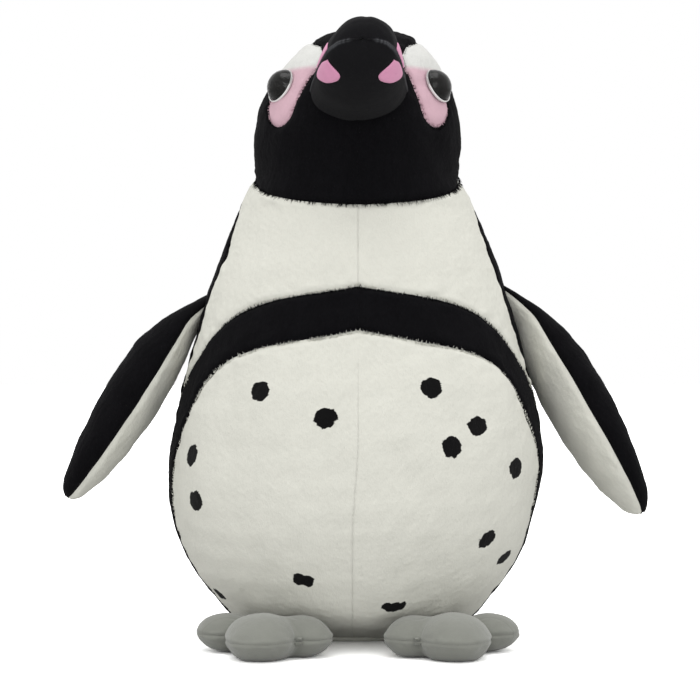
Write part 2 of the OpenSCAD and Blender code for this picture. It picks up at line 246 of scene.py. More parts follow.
def torso_grid(first, second, edge=lambda share: 1.0):
    """A panel between two seams: straight lines from one to the other in [turn / edge, share of
    height], where edge gives the turn of a side seam at each share, so no row crosses that seam."""
    solid_a, solid_b = torso_points(first), torso_points(second)
    rows = int(max(length_of(solid_a), length_of(solid_b)) / stitch_step) + 2
    a, b = spaced(first, solid_a, rows), spaced(second, solid_b, rows)
    gap = np.linalg.norm(torso_points(a) - torso_points(b), axis=1).max()
    a, b = (np.stack([p[:, 0] / edge(p[:, 1]), p[:, 1]], -1) for p in (a, b))
    t = np.linspace(0, 1, int(gap / stitch_step) + 3)[None, :, None]
    rows = a[:, None] + (b - a)[:, None] * t
    rows[..., 0] *= edge(rows[..., 1])
    return torso_points(rows)


def waves(seed, count, wavelength):
    """A smooth random field: the sum of count sine waves in seeded directions, about -1 to 1."""
    dice = np.random.default_rng(seed)
    way = dice.normal(size=(count, 3))
    way *= 2 * np.pi / (wavelength * dice.uniform(0.7, 1.5, (count, 1))
                        * np.linalg.norm(way, axis=1, keepdims=True))
    phase = dice.uniform(0, 2 * np.pi, count)
    return lambda p: np.sin(p @ way.T + phase).sum(-1) / math.sqrt(count)


sag, dimple, nap = waves(3, 14, 34), waves(5, 18, 11), waves(7, 26, 2.6)
pucker = waves(9, 20, 7)


def nearness(points, line):
    """Distance from each point to the nearest of a line's points."""
    flat = points.reshape(-1, 3)
    out = np.empty(len(flat))
    for k in range(0, len(flat), 8000):
        part = flat[k:k + 8000]
        square = (part ** 2).sum(1)[:, None] + (line ** 2).sum(1)[None] - 2 * part @ line.T
        out[k:k + 8000] = np.sqrt(np.maximum(square.min(1), 0))
    return out.reshape(points.shape[:-1])


def stuffed_out(points, normal, seams):
    """Moves cloth along its normal: gentle sag, dimples and nap all over, and a groove at each
    seam, depth * exp(-(distance / width)^2), with small puckers either side of it."""
    lift = 0.35 * sag(points) + 0.16 * dimple(points) + 0.07 * nap(points)
    sunk = np.zeros(lift.shape)
    for line, depth, width in seams:
        away = nearness(points, line)
        sunk = np.maximum(sunk, depth * np.exp(-(away / width) ** 2))
        lift += 0.3 * min(depth, 1) * pucker(points) * np.exp(-(away / 5) ** 2) * (away / 3).clip(0, 1)
    return points + normal * (lift - sunk)[..., None]


def closed_cloth(outer, inner):
    """Vertices and faces of a sheet with thickness: two grids, and a rim that joins their edges."""
    rows, columns = outer.shape[:2]
    top = np.arange(rows * columns).reshape(rows, columns)
    under = top + rows * columns

    def squares(g):
        return np.stack([g[:-1, :-1], g[1:, :-1], g[1:, 1:], g[:-1, 1:]], -1).reshape(-1, 4)
    loop = np.concatenate([top[:-1, 0], top[-1, :-1], top[:0:-1, -1], top[0, :0:-1]])
    after = np.roll(loop, -1)
    rim = np.stack([loop, loop + rows * columns, after + rows * columns, after], -1)
    return (np.concatenate([outer.reshape(-1, 3), inner.reshape(-1, 3)]),
            np.concatenate([squares(top), squares(under)[:, ::-1], rim]))


def tufts(line, normal, across, seed, per_mm=2.6, long=1.7):
    """Tufts of pile along a seam: thin three-sided spikes that lean across it, as fibre does."""
    dice = np.random.default_rng(seed)
    count = int(length_of(line) * per_mm)
    at = dice.uniform(0, len(line) - 1.001, count)
    k, t = at.astype(int), (at % 1)[:, None]
    root = line[k] * (1 - t) + line[k + 1] * t
    up, over = normal[k], across[k]
    run = np.cross(up, over)
    root = root - up * 0.7 - over * dice.uniform(0.2, 1.3, (count, 1))
    reach = dice.uniform(0.45, 1, (count, 1)) * long
    tip = root + over * reach + up * dice.uniform(0.5, 1.1, (count, 1)) * reach * 0.55 \
        + run * dice.normal(0, 0.35, (count, 1)) * reach
    w = 0.2
    verts = np.stack([root + run * w, root - run * w, root + up * w * 1.6, tip], 1).reshape(-1, 3)
    base = np.arange(count)[:, None, None] * 4
    faces = (base + np.array([[0, 1, 2], [0, 3, 1], [1, 3, 2], [2, 3, 0]])).reshape(-1, 3)
    return verts, faces


def sewn(name, meshes, material, masks=None):
    """Joins (vertices in mm, faces) into one object, merges points that coincide and turns the
    faces outwards. masks are values at each vertex for the material to read."""
    verts = np.concatenate([m[0] for m in meshes])
    faces, start = [], 0
    for v, f in meshes:
        faces += (f + start).tolist()
        start += len(v)
    mesh = bpy.data.meshes.new(name)
    mesh.from_pydata((verts / 1000).tolist(), [], faces)
    for mask, value in (masks or {}).items():
        mesh.attributes.new(mask, "FLOAT", "POINT").data.foreach_set(
            "value", value(verts).astype(np.float32))
    shaped = bmesh.new()
    shaped.from_mesh(mesh)
    bmesh.ops.remove_doubles(shaped, verts=shaped.verts, dist=1e-6)
    bmesh.ops.dissolve_degenerate(shaped, edges=shaped.edges, dist=1e-7)
    bmesh.ops.recalc_face_normals(shaped, faces=shaped.faces)
    if shaped.calc_volume(signed=True) < 0:
        bmesh.ops.reverse_faces(shaped, faces=shaped.faces)
    shaped.to_mesh(mesh)
    shaped.free()
    mesh.polygons.foreach_set("use_smooth", [True] * len(mesh.polygons))
    mesh.materials.append(material)
    made = bpy.data.objects.new(name, mesh)
    scene.collection.objects.link(made)
    return made


def pile_group():
    """Short plush pile: fine noise stretched along the lie of the pile, clumps of fibre and broad
    brushed patches. They vary the colour and give the height of the nap."""
    g = bpy.data.node_groups.new("plush_pile", "ShaderNodeTree")
    for socket, kind in (("Tint", "NodeSocketColor"), ("Mottle", "NodeSocketFloat"),
                         ("Fineness", "NodeSocketFloat")):
        g.interface.new_socket(socket, in_out="INPUT", socket_type=kind)
    for socket, kind in (("Color", "NodeSocketColor"), ("Height", "NodeSocketFloat")):
        g.interface.new_socket(socket, in_out="OUTPUT", socket_type=kind)
    start, end = g.nodes.new("NodeGroupInput"), g.nodes.new("NodeGroupOutput")
    place = node(g, "ShaderNodeTexCoord").outputs["Object"]
    lie = node(g, "ShaderNodeMapping", [("Vector", place), ("Scale", (1, 1, 0.5))]).outputs[0]
    fine = node(g, "ShaderNodeTexNoise", [("Vector", lie), ("Scale", start.outputs["Fineness"]),
                                          ("Detail", 3.0), ("Roughness", 0.65)]).outputs[0]
    clump = node(g, "ShaderNodeTexNoise", [("Vector", lie), ("Scale", 420.0), ("Detail", 2.0),
                                           ("Distortion", 0.6)]).outputs[0]
    brushed = node(g, "ShaderNodeTexNoise", [("Vector", lie), ("Scale", 75.0),
                                             ("Detail", 2.0)]).outputs[0]

    def mixed(*parts):
        """Adds (output, weight) pairs."""
        total = None
        for value, weight in parts:
            total = node(g, "ShaderNodeMath", [(0, value), (1, weight), (2, total or 0.0)],
                         operation="MULTIPLY_ADD").outputs[0]
        return total
    height = mixed((fine, 0.5), (clump, 0.4), (brushed, 0.1))
    shade = mixed((fine, 0.45), (clump, 0.3), (brushed, 0.25))
    centred = node(g, "ShaderNodeMath", [(0, shade), (1, 0.5)], operation="SUBTRACT").outputs[0]
    gain = node(g, "ShaderNodeMath", [(0, centred), (1, start.outputs["Mottle"]), (2, 1.0)],
                operation="MULTIPLY_ADD").outputs[0]
    colour = node(g, "ShaderNodeVectorMath", [(0, start.outputs["Tint"]), ("Scale", gain)],
                  operation="SCALE").outputs[0]
    g.links.new(colour, end.inputs["Color"])
    g.links.new(height, end.inputs["Height"])
    return g


pile = pile_group()


def pile_cloth(name, tint, mottle, sheen, fineness=1500.0, depth=0.0005, marks=()):
    """A plush material. marks are (mask, colour, ragged edge) layers on it: printed or sprayed ink, or a
    painted highlight.
    """
    material, tree, shader = wired(name)
    colour = tint + (1,)
    for mask, ink, ragged in marks:
        amount = node(tree, "ShaderNodeAttribute", attribute_name=mask).outputs["Fac"]
        if ragged:
            place = node(tree, "ShaderNodeTexCoord").outputs["Object"]
            frayed = node(tree, "ShaderNodeTexNoise", [("Vector", place), ("Scale", 900.0),
                                                       ("Detail", 2.0)]).outputs[0]
            amount = node(tree, "ShaderNodeMath", [(0, frayed), (1, ragged), (2, amount)],
                          operation="MULTIPLY_ADD").outputs[0]
            amount = node(tree, "ShaderNodeMapRange", [
                ("Value", amount), ("From Min", ragged * 0.5 - 0.1), ("From Max", ragged * 0.5 + 0.1)],
                interpolation_type="SMOOTHSTEP").outputs[0]
        colour = node(tree, "ShaderNodeMix", [("Factor", amount), (6, colour), (7, ink + (1,))],
                      data_type="RGBA").outputs[2]
    fibres = node(tree, "ShaderNodeGroup", [], node_tree=pile)
    for socket, value in (("Tint", colour), ("Mottle", mottle), ("Fineness", fineness)):
        if isinstance(value, bpy.types.NodeSocket):
            tree.links.new(value, fibres.inputs[socket])
        else:
            fibres.inputs[socket].default_value = value
    bump = node(tree, "ShaderNodeBump", [("Height", fibres.outputs["Height"]), ("Distance", depth),
                                         ("Strength", 1.0)])
    tree.links.new(fibres.outputs["Color"], shader.inputs["Base Color"])
    tree.links.new(bump.outputs[0], shader.inputs["Normal"])
    shader.inputs["Roughness"].default_value = 0.95
    shader.inputs["Specular IOR Level"].default_value = 0.03
    shader.inputs["Sheen Weight"].default_value = sheen
    shader.inputs["Sheen Roughness"].default_value = 0.55
    return material


ink_black = (0.005, 0.0048, 0.005)
cream = (0.655, 0.652, 0.588)
cream_pile = pile_cloth("cream_pile", cream, 0.22, 0.06)
spotted_pile = pile_cloth("cream_pile_spotted", cream, 0.22, 0.06, marks=[("spots", ink_black, 0.5)])
black_pile = pile_cloth("black_pile", (0.0042, 0.004, 0.0048), 1.7, 0.016)

cloth_thickness = 1.3
base_edge = 1.2
belly_middle = torso_seam([[0, 126], [0, 118], [0, 108], [0, 90], [0, 70], [0, 45], [0, 20],
                           [0, base_edge]])
belly_seam = torso_seam([[0, 126], [38, 118], [55, 109], [66, 92], [73.5, 75], [77, 50], [78, 25],
                         [72, base_edge]])
band_seam = torso_seam([[0, 143], [32, 137.5], [52, 130], [68, 116], [85, 95], [96, 62], [96, 25],
                        [90, base_edge]])
back_edge = [[105, NECK], [82, 175], [73.5, 160], [74.5, 140], [80, 115], [100, 65], [107, 30],
             [105, base_edge]]
neck_front = torso_seam([[turn, NECK] for turn in range(0, 106, 7)])
back_seam = torso_seam(back_edge)
side_seam = np.concatenate([neck_front, back_seam])
back_middle = torso_seam([[180, NECK], [180, 155], [180, 115], [180, 65], [180, 30],
                          [180, base_edge]])
base_seam = torso_seam([[turn, base_edge] for turn in range(0, 181, 9)])
sharp, soft = (1.1, 1.3), (0.12, 1.0)       # depth and width of a seam's groove
torso_lines = [(line, *size) for line, size in (
    (torso_points(belly_middle), soft), (torso_points(belly_seam), sharp),
    (torso_points(band_seam), sharp), (torso_points(back_seam), sharp),
    (torso_points(back_middle), soft), (torso_points(neck_front), sharp),
    (torso_points(base_seam), (0.7, 1.5)))]
both = (("left", 1), ("right", -1))
# Each spot as [turn, height, half width, half height, tilt]: no two are quite the same.
belly_spots = np.array([
    [-31.5, 102.2, 3.8, 3.6, 0], [-9.5, 92.1, 4.0, 3.5, 5], [-58.6, 76.4, 3.6, 4.0, -12],
    [-55.4, 58.9, 4.2, 3.4, -20], [-65.6, 21, 3.8, 1.9, -16], [-18.7, 29.8, 4.1, 2.3, -16],
    [22.9, 103.4, 3.9, 3.7, 0], [38.3, 88.6, 4.2, 3.4, 8], [28.3, 80.8, 4.0, 3.7, -10],
    [54.6, 71.5, 4.0, 3.5, 15], [45.2, 43.9, 4.3, 2.7, 20], [60.5, 34.6, 4.0, 2.2, 25],
    [13.9, 18.5, 4.4, 1.9, 2]])
spot_middles = on_skin(belly_spots[:, 0], belly_spots[:, 1])
spot_up = outward(spot_middles)
spot_across = np.cross([0, 0, 1.0], spot_up)
spot_across /= np.linalg.norm(spot_across, axis=1, keepdims=True)
spot_rise = np.cross(spot_up, spot_across)
spot_cos, spot_sin = np.cos(np.radians(belly_spots[:, 4])), np.sin(np.radians(belly_spots[:, 4]))
fray = waves(11, 16, 3.2)


def spots(p):
    """1 inside a spot and 0 outside it: each is an oval on the skin, its edge frayed by 0.35 mm and
    1.4 mm soft. The last 0.25 leaves room for the finer fraying in the material."""
    step = p[:, None] - spot_middles
    u, v = (step * spot_across).sum(-1), (step * spot_rise).sum(-1)
    u, v = u * spot_cos + v * spot_sin, v * spot_cos - u * spot_sin
    far = np.sqrt((u / belly_spots[:, 2]) ** 2 + (v / belly_spots[:, 3]) ** 2) \
        + 9 * (np.abs((step * spot_up).sum(-1)) > 6)
    inside = ((1 - far) * belly_spots[:, 3]).max(1) + 0.35 * fray(p)
    return (0.5 + inside / 1.4).clip(0, 1) - 0.25


def seam_run(solid, inside):
    """Along a seam: its points, the skin's normals, and the direction across it on the skin, away
    from the panel, whose middle line is inside. A seam has its panel on one side all the way."""
    run = spaced(solid, solid, int(length_of(solid) / 0.8) + 2)
    up = outward(run)
    way = np.gradient(run, axis=0)
    across = np.cross(up, way / np.linalg.norm(way, axis=1, keepdims=True))
    across /= np.linalg.norm(across, axis=1, keepdims=True)
    near = inside[((run[:, None] - inside[None]) ** 2).sum(-1).argmin(1)]
    side = 1 if (across * (run - near)).sum() > 0 else -1
    return run, up, across * side


def mirrored(points, side):
    """The same points on the toy's left (1) or right (-1)."""
    return points * np.array([side, 1, 1])


def skin_panel(name, grid, seams, material, edges=(), masks=None, shift=lambda p: p, long=1.25):
    """One cloth panel of each side: grid of skin points, the seams that draw it in, and the edges
    whose tufts lean over the neighbour."""
    made = []
    for k, (side_name, side) in enumerate(both):
        points, normal = mirrored(grid, side), mirrored(outward(grid), side)
        lines = [(mirrored(line, side), depth, width) for line, depth, width in seams]
        outer = stuffed_out(points, normal, lines)
        inner = points - normal * (cloth_thickness + 1.2)
        parts = [closed_cloth(shift(outer), shift(inner))]
        for e, line in enumerate(edges):
            run, up, across = (mirrored(a, side) for a in seam_run(line, grid[:, grid.shape[1] // 2]))
            v, f = tufts(run, up, across, 40 * k + e + len(name),
                         long=np.broadcast_to(long, len(edges))[e])
            parts.append((shift(v), f))
        made.append(sewn(f"{name}_{side_name}_cloth", parts, material, masks))
    return made


slump = 2.2


def slumped(p):
    """The pellets have slumped to the toy's right, easing in from 85 mm up down to 45 mm."""
    moved = p.copy()
    t = ((85 - p[..., 2]) / 40).clip(0, 1)
    moved[..., 0] -= slump * (3 * t ** 2 - 2 * t ** 3)
    return moved


def dressed(pieces, fill, slot, *body):
    """Hides each stuffed skin's CAD node, and ties the skin to its body, or bakes its place into the mesh
    when it is given more than one body. fill and slot are not used.
    """
    for piece in pieces:
        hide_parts(piece.name.removesuffix("_cloth"))
        if len(body) == 1:
            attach(piece, body[0])
        else:
            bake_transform(piece)


belly_panels = skin_panel("belly_panel", torso_grid(belly_middle, belly_seam), torso_lines,
                          spotted_pile, [torso_points(belly_seam)], {"spots": spots}, slumped)
dressed(belly_panels, 0.85, "cream_pile", "torso")

# ---------------------------------------------------------------- Breast band
# A horseshoe of black plush in two halves, joined over the breastbone. It runs from there down
# both flanks to the base, and its pile overlaps the cream cloth on either side.
band_points = torso_points(band_seam)
breast_bands = skin_panel("breast_band", torso_grid(belly_seam, band_seam), torso_lines, black_pile,
                          [torso_points(belly_seam), band_points], shift=slumped)
dressed(breast_bands, 0.85, "black_pile", "torso")

# ---------------------------------------------------------------- Chest panels
# Cream plush in two halves from the neck down both flanks.
neck_way = np.array([0, -neck_slope, 1]) / math.hypot(1, neck_slope)
neck_middle = np.array([0, 0, neck_level])
twist_start = tuple((neck_middle - 30 * neck_way) / 1000)
twist_end = tuple(neck_middle / 1000)
chest_middle = torso_points(torso_seam([[0, NECK], [0, 160], [0, 143]]))
chest_grid = torso_grid(band_seam, side_seam, lambda share: np.interp(
    share, back_seam[::-1, 1], back_seam[::-1, 0]))
chest_panels = skin_panel("chest_panel", chest_grid,
                          torso_lines + [(chest_middle, *soft)], cream_pile,
                          [band_points], shift=slumped)
dressed(chest_panels, 0.85, "cream_pile", "torso", "head", twist_start, twist_end)

# ---------------------------------------------------------------- Back panels
# Black plush in two halves with a seam down the spine, sewn to the chest behind the flippers.
back_panels = skin_panel("back_panel", torso_grid(back_seam, back_middle), torso_lines, black_pile,
                         [torso_points(back_seam)], shift=slumped)
dressed(back_panels, 0.85, "black_pile", "torso", "head", twist_start, twist_end)

# ---------------------------------------------------------------- Base panel
# A flat cream oval sewn in underneath, which the toy sits on.
share, turn = np.meshgrid(np.linspace(0, 1, 40), np.linspace(0, 360, 181), indexing="ij")
rim = on_skin(turn, np.full(turn.shape, base_edge))
under = rim * share[..., None] * np.array([1, 1, 0])
curl = (share.clip(0.95, 1) - 0.95) / 0.05
under[..., 2] = 0.15 + curl ** 2 * 1.0 + 0.05 * nap(rim * share[..., None]) * (1 - curl)
over = under + np.array([0, 0, cloth_thickness])
base_panel = sewn("base_panel_cloth", [closed_cloth(slumped(under), slumped(over))], cream_pile)
dressed([base_panel], 0.6, "cream_pile", "torso")

# ---------------------------------------------------------------- Face, brow and crown panels
# The head is black plush at the face, throat and crown, with a pale brow panel round each eye
# that narrows to a white stripe behind the cheek. The pink round the eye is sprayed on.
head_centre = np.array([0, 0, 205.0])


def to_skin(points):
    """Each point moved along its line from the head's centre until it lies on the skin, found by
    halving the interval."""
    ray = points - head_centre
    low, high = np.zeros(points.shape[:-1]), np.full(points.shape[:-1], 3.0)
    for _ in range(36):
        middle = (low + high) / 2
        q = head_centre + ray * middle[..., None]
        a, front, back = (read(c, q[..., 2])[0] for c in (wide, fore, aft))
        d = np.where(q[..., 1] < 0, front, back)
        inside = (q[..., 0] ** 2 / a + q[..., 1] ** 2 / d < 1) & (q[..., 2] < crown_height)
        low, high = np.where(inside, middle, low), np.where(inside, high, middle)
    return head_centre + ray * low[..., None]


def head_seam(*pieces):
    """A seam on the head through [turn, height] points, as points on the skin."""
    parts = []
    for piece in pieces:
        p = np.array(piece, float)
        height = np.where(p[:, 1] == NECK, neck_height(p[:, 0]), p[:, 1])
        parts.append(to_skin(smooth(on_skin(p[:, 0], height))))
    return np.concatenate(parts)


def head_grid(firsts, seconds):
    """A panel between two seams on the head, each given in stretches that belong together:
    straight lines from one to the other, pushed out on to the skin."""
    pairs, gap = [], 0
    for first, second in zip(firsts, seconds):
        rows = int(max(length_of(first), length_of(second)) / stitch_step) + 2
        a, b = spaced(first, first, rows), spaced(second, second, rows)
        gap = max(gap, np.linalg.norm(a - b, axis=1).max())
        pairs.append((a, b) if not pairs else (a[1:], b[1:]))
    a, b = (np.concatenate(part) for part in zip(*pairs))
    t = np.linspace(0, 1, int(gap / stitch_step) + 3)[None, :, None]
    return to_skin(a[:, None] + (b - a)[:, None] * t)


def cut(line, *corners):
    """A seam cut into stretches at its points nearest to these [turn, height] corners."""
    at = [0] + [int(np.linalg.norm(line - on_skin(*map(np.array, map(float, corner))), axis=1).argmin())
                for corner in corners] + [len(line) - 1]
    return [line[a:b + 1] for a, b in zip(at[:-1], at[1:])]


head_offset = 3.2


def head_lean(p):
    """The stuffing has pushed the top of the head a little to the toy's left."""
    moved = p.copy()
    rise = ((p[..., 2] - 214) / 32).clip(0, 1)
    moved[..., 0] += head_offset * rise ** 1.4
    return moved


eye_turn, eye_height, eye_size, eye_rise = 56.0, 224.6, 14.0, 5.3
pupil_size, pupil_rise = 11.2, 3.7
eye_spot = on_skin(np.array(eye_turn), np.array(eye_height))
brow_corner = [41.7, 241]
neck_to = [[turn, NECK] for turn in range(0, 99, 7)]
beak_edge = [[2, 240.5], [9, 238.5], [12, 234], [13, 227], [12, 220], [8, 216], [0, 214]]
throat = [[0, 214], [0, 205], [0, 198], [0, 188], [0, NECK]]
low_brow = head_seam([brow_corner, [32.5, 236.5], [31.2, 233], [31.3, 230], [33.4, 227],
                      [35.4, 221.5], [37.8, 214.7], [40.3, 210], [44, 207.6], [48.5, 207],
                      [53.2, 208.2], [58, 210.8], [61.6, 214.5], [62.8, 218.5], [66, 222.5],
                      [72, 226.5], [80, 229], [90, 229.5], [98, 226], [104, 218], [106, 208],
                      [103, 198], [98, NECK]])
high_brow = head_seam([brow_corner, [60, 243], [90, 244.5], [105, 241], [114, 232], [119, 220],
                       [119, 208], [113, NECK]])
beak_seam, throat_seam = head_seam(beak_edge), head_seam(throat)
neck_line = head_seam(neck_to)
crown_bridge = head_seam([[2, 240.5], brow_corner])
crown_middle = to_skin(np.concatenate([
    smooth(on_skin(np.zeros(5), np.array([240.6, 244, 247.5, 250, 250.99]))),
    smooth(on_skin(np.full(9, 180.0), np.array(
        [250.99, 250, 247, 241, 232, 220, 210, 206, float(neck_height(180.0))])))]))
neck_behind = head_seam([[turn, NECK] for turn in range(98, 181, 6)] + [[180, NECK]])
head_lines = [(low_brow, 1.0, 1.2), (high_brow, 1.0, 1.2), (throat_seam, *soft),
              (neck_line, 1.0, 1.4), (neck_behind, 1.0, 1.4), (crown_middle, *soft),
              (eye_spot[None], 1.1, 7.5)]


def blush(p):
    """Pink round the eye: full below 231 mm on the front of the panel, and fading over 2 mm."""
    low = ((232.3 - p[:, 2]) / 2.2).clip(0, 1)
    front = ((-p[:, 1] - 11) / 4).clip(0, 1)
    return low * front


brow_pile = pile_cloth("brow_pile", (0.62, 0.62, 0.595), 0.2, 0.05,
                       marks=[("blush", (0.58, 0.385, 0.44), 0)])
face_grid = head_grid([np.concatenate([beak_seam, throat_seam])] + cut(neck_line, [45, 182]),
                      cut(low_brow, [48.5, 207], [62.8, 218.5]))
brow_grid = head_grid(cut(low_brow, [62.8, 218.5], [80, 229], [98, 226]),
                      cut(high_brow, [66, 243.5], [85, 244.5], [108, 238]))
face_panels = skin_panel("face_panel", face_grid, head_lines, black_pile,
                         [low_brow, neck_line], shift=head_lean, long=(0.9, 2.4))
brow_panels = skin_panel("brow_panel", brow_grid, head_lines, brow_pile,
                         [low_brow, high_brow],
                         {"blush": blush}, shift=head_lean, long=0.8)
crown_grid = head_grid([np.concatenate([crown_bridge, high_brow])], [crown_middle])
crown_panels = skin_panel("crown_panel", crown_grid, head_lines, black_pile,
                          [high_brow, neck_behind], shift=head_lean,
                          long=0.9)
dressed(face_panels + crown_panels, 0.9, "black_pile", "head")
dressed(brow_panels, 0.9, "brow_pile", "head")

# ---------------------------------------------------------------- Beak
# Upper and lower halves of smooth short velour, stuffed firm and sewn together along the mouth,
# where the turned edge stands up as a ridge, with a painted highlight along it. A seam runs along the top.
mouth_heights = [[0, 220.5], [0.4, 224.5], [0.8, 229.8], [0.92, 232], [1, 234.5]]
beak_half_widths = [[0, 19.3], [0.4, 16.7], [0.7, 14.2], [0.86, 12.4], [0.95, 9.6], [0.985, 6], [1, 0.05]]
beak_rises = [[0, 21], [0.4, 20.8], [0.7, 16.4], [0.86, 12], [0.96, 6.5], [1, 0.05]]
beak_drops = [[0, 13], [0.4, 12.5], [0.7, 9.5], [0.86, 7], [0.95, 4.6], [0.985, 2.6], [1, 0.05]]
beak_reach = 79


def sized(table, share):
    """A size along a piece, by the same cubic pieces through the squares."""
    return np.sqrt(read(curve_of(table), share)[0])


def on_beak(share, turn, upper, out=0.0):
    """A beak section is half an oval, x = width * sin(turn), z = mouth +- height * cos(turn), carried
    from the face to the tip, and out millimetres larger."""
    t = np.radians(turn)
    across = (sized(beak_half_widths, share) + out).clip(0.2, None)
    tall = (sized(beak_rises if upper else beak_drops, share) + out).clip(0.2, None)
    mouth = np.interp(share, *np.array(mouth_heights, float).T)
    z = mouth + (1 if upper else -1) * tall * np.cos(t)
    first = mouth_heights[0][1] + (1 if upper else -1) * (
        (beak_rises if upper else beak_drops)[0][1] + out) * np.cos(t)
    x_root = (beak_half_widths[0][1] + out) * np.sin(t)
    a, d = read(wide, first)[0], read(fore, first)[0]
    root = -np.sqrt(d * (1 - x_root ** 2 / a).clip(0, 1)) + 2.5
    go = 0.45 * share + 0.55 * np.sin(np.pi / 2 * share)
    pinch = np.abs(np.sin(t) + 1e-9) ** (-0.15 if upper else 0) * (1 - (0.07 * np.cos(t) if upper else 0))
    return np.stack([across * np.sin(t) * pinch, root + (-beak_reach - out * share - root) * go, z], -1)


def grid_normal(grid, hint):
    """The normals of a grid from its own steps, turned to the same side as hint."""
    n = np.cross(np.gradient(grid, axis=0), np.gradient(grid, axis=1))
    n /= np.linalg.norm(n, axis=-1, keepdims=True) + 1e-9
    return n * np.where((n * hint).sum(-1, keepdims=True) < 0, -1, 1)


def velour(name, tint, mottle, sheen, marks=()):
    """Short velour: the same pile, much finer and flatter."""
    return pile_cloth(name, tint, mottle, sheen, fineness=2600.0, depth=0.00018, marks=marks)


# The pale grey mark on the black velour is a painted highlight along the ridge of the mouth seam.
black_velour = velour("black_velour", (0.0085, 0.0083, 0.0093), 0.7, 0.03,
                      marks=[("mouth_ridge_highlight", (0.13, 0.135, 0.145), 0)])
pink_velour = velour("pink_velour", (0.68, 0.30, 0.46), 0.35, 0.15)
mouth_line = np.concatenate([on_beak(np.linspace(0, 1, 90), np.full(90, -90.0), True),
                             on_beak(np.linspace(1, 0, 90), np.full(90, 90.0), True)])


def mouth_ridge_highlight(p):
    """A painted highlight along the mouth seam, where its raised ridge catches the light, but not on the
    very tip.
    """
    end = np.linalg.norm(p - head_lean(mouth_line[89]), axis=-1)
    return 0.8 * (1 - np.exp(-(end / 1.8) ** 2)) * np.exp(-(nearness(p, head_lean(mouth_line)) / 0.55) ** 2)


share, turn = np.meshgrid(1 - (1 - np.linspace(0, 1, 90)) ** 1.4, np.linspace(-90, 90, 96),
                          indexing="ij")
for name, upper in (("beak_upper", True), ("beak_lower", False)):
    points = on_beak(share, turn, upper)
    middle = np.array([0, -50, 226.0])
    normal = grid_normal(points, points - middle)
    side_on = np.abs(turn) / 90
    lip = 0.55 * np.exp(-((1 - side_on) * 22 / 1.1) ** 2) * (share > 0.02)
    fold = 0.3 * np.exp(-(points[..., 0] / 1.0) ** 2) * (1 if upper else np.exp(-(share / 0.15) ** 2))
    lift = lip - fold + 0.15 * dimple(points) + 0.03 * nap(points)
    outer = points + normal * lift[..., None]
    inner = on_beak(share, turn, upper, -cloth_thickness)
    inner[..., 2] += (0.1 if upper else -0.1)
    half = sewn(f"{name}_cloth", [closed_cloth(head_lean(outer), head_lean(inner))], black_velour,
                {"mouth_ridge_highlight": mouth_ridge_highlight})
    dressed([half], 0.95, "black_velour", "head")

# ---------------------------------------------------------------- Pink patches on the beak
# Four pieces of pink velour appliqued on the beak near its root: two under the mouth, and two
# slim ones above it.
upper_patch = [[0.70, 68], [0.79, 84], [0.62, 86.5], [0.45, 86.5], [0.42, 82], [0.52, 76], [0.61, 71]]
lower_patch = [[0.81, 72], [0.66, 85], [0.46, 84], [0.53, 60], [0.61, 44], [0.69, 33], [0.76, 33],
               [0.80, 48]]


def patch(corners, upper, side):
    """A patch: rings of points that shrink from its outline to its middle, all on the beak, with
    thickness: the outline is raised by a stitched-down edge and the middle is flat."""
    outline = smooth(corners + corners[:1], 10)[:-1]
    outline = spaced(np.concatenate([outline, outline[:1]]), on_beak(
        *np.concatenate([outline, outline[:1]]).T, upper), 97)
    middle = outline[:-1].mean(0)
    shrink = np.linspace(0.02, 1, 16)[:, None, None]
    flat = middle + (outline - middle) * shrink
    edge = (1 - shrink[..., 0]) * 6
    proud = 0.75 * np.sqrt(1 - np.exp(-edge * 1.6))
    top = on_beak(flat[..., 0], flat[..., 1], upper)
    normal = top - np.array([0, -45, 226.0])
    normal /= np.linalg.norm(normal, axis=-1, keepdims=True)
    lifted = top + normal * (0.15 + proud)[..., None]
    buried = top - normal * 0.6
    return [closed_cloth(head_lean(mirrored(lifted, side)), head_lean(mirrored(buried, side)))]


for side_name, side in both:
    for half_name, corners, upper in (("upper", upper_patch, True), ("lower", lower_patch, False)):
        piece = sewn(f"beak_patch_{half_name}_{side_name}_cloth", patch(corners, upper, side), pink_velour)
        dressed([piece], 0.3, "pink_velour", "head")

# ---------------------------------------------------------------- Eyes
# Safety eyes: a black pupil cast inside a clear dome, on a stem that goes through the cloth and
# is held behind it by a washer of white plastic.
eye_way = eye_spot - np.array([0, 0, 207.0])
eye_way /= np.linalg.norm(eye_way)


def turned_solid(outline, place, way, around=64):
    """A solid turned about way through place, from an outline of [radius, height] points."""
    side_way = np.cross(way, [0, 0, 1.0])
    side_way /= np.linalg.norm(side_way)
    up_way = np.cross(side_way, way)
    angle = np.linspace(0, 2 * np.pi, around, endpoint=False)
    radius, height = np.array(outline, float).T
    ring = side_way * np.cos(angle)[:, None] + up_way * np.sin(angle)[:, None]
    points = place + radius[:, None, None] * ring + height[:, None, None] * way
    rows = len(outline)
    g = np.arange(rows * around).reshape(rows, around)
    after = np.roll(g, -1, 1)
    faces = np.stack([g[:-1], g[1:], after[1:], after[:-1]], -1).reshape(-1, 4)
    return points.reshape(-1, 3), faces


def dome(radius, rise, low, steps=26):
    """A spherical cap of that radius and rise standing on a short wall, then its flat back."""
    ball = (radius ** 2 + rise ** 2) / (2 * rise)
    angle = np.linspace(0, math.asin(min(radius / ball, 1)), steps)
    cap = np.stack([ball * np.sin(angle), rise - ball * (1 - np.cos(angle))], 1)
    return np.concatenate([cap, [[radius, low], [0, low]]])


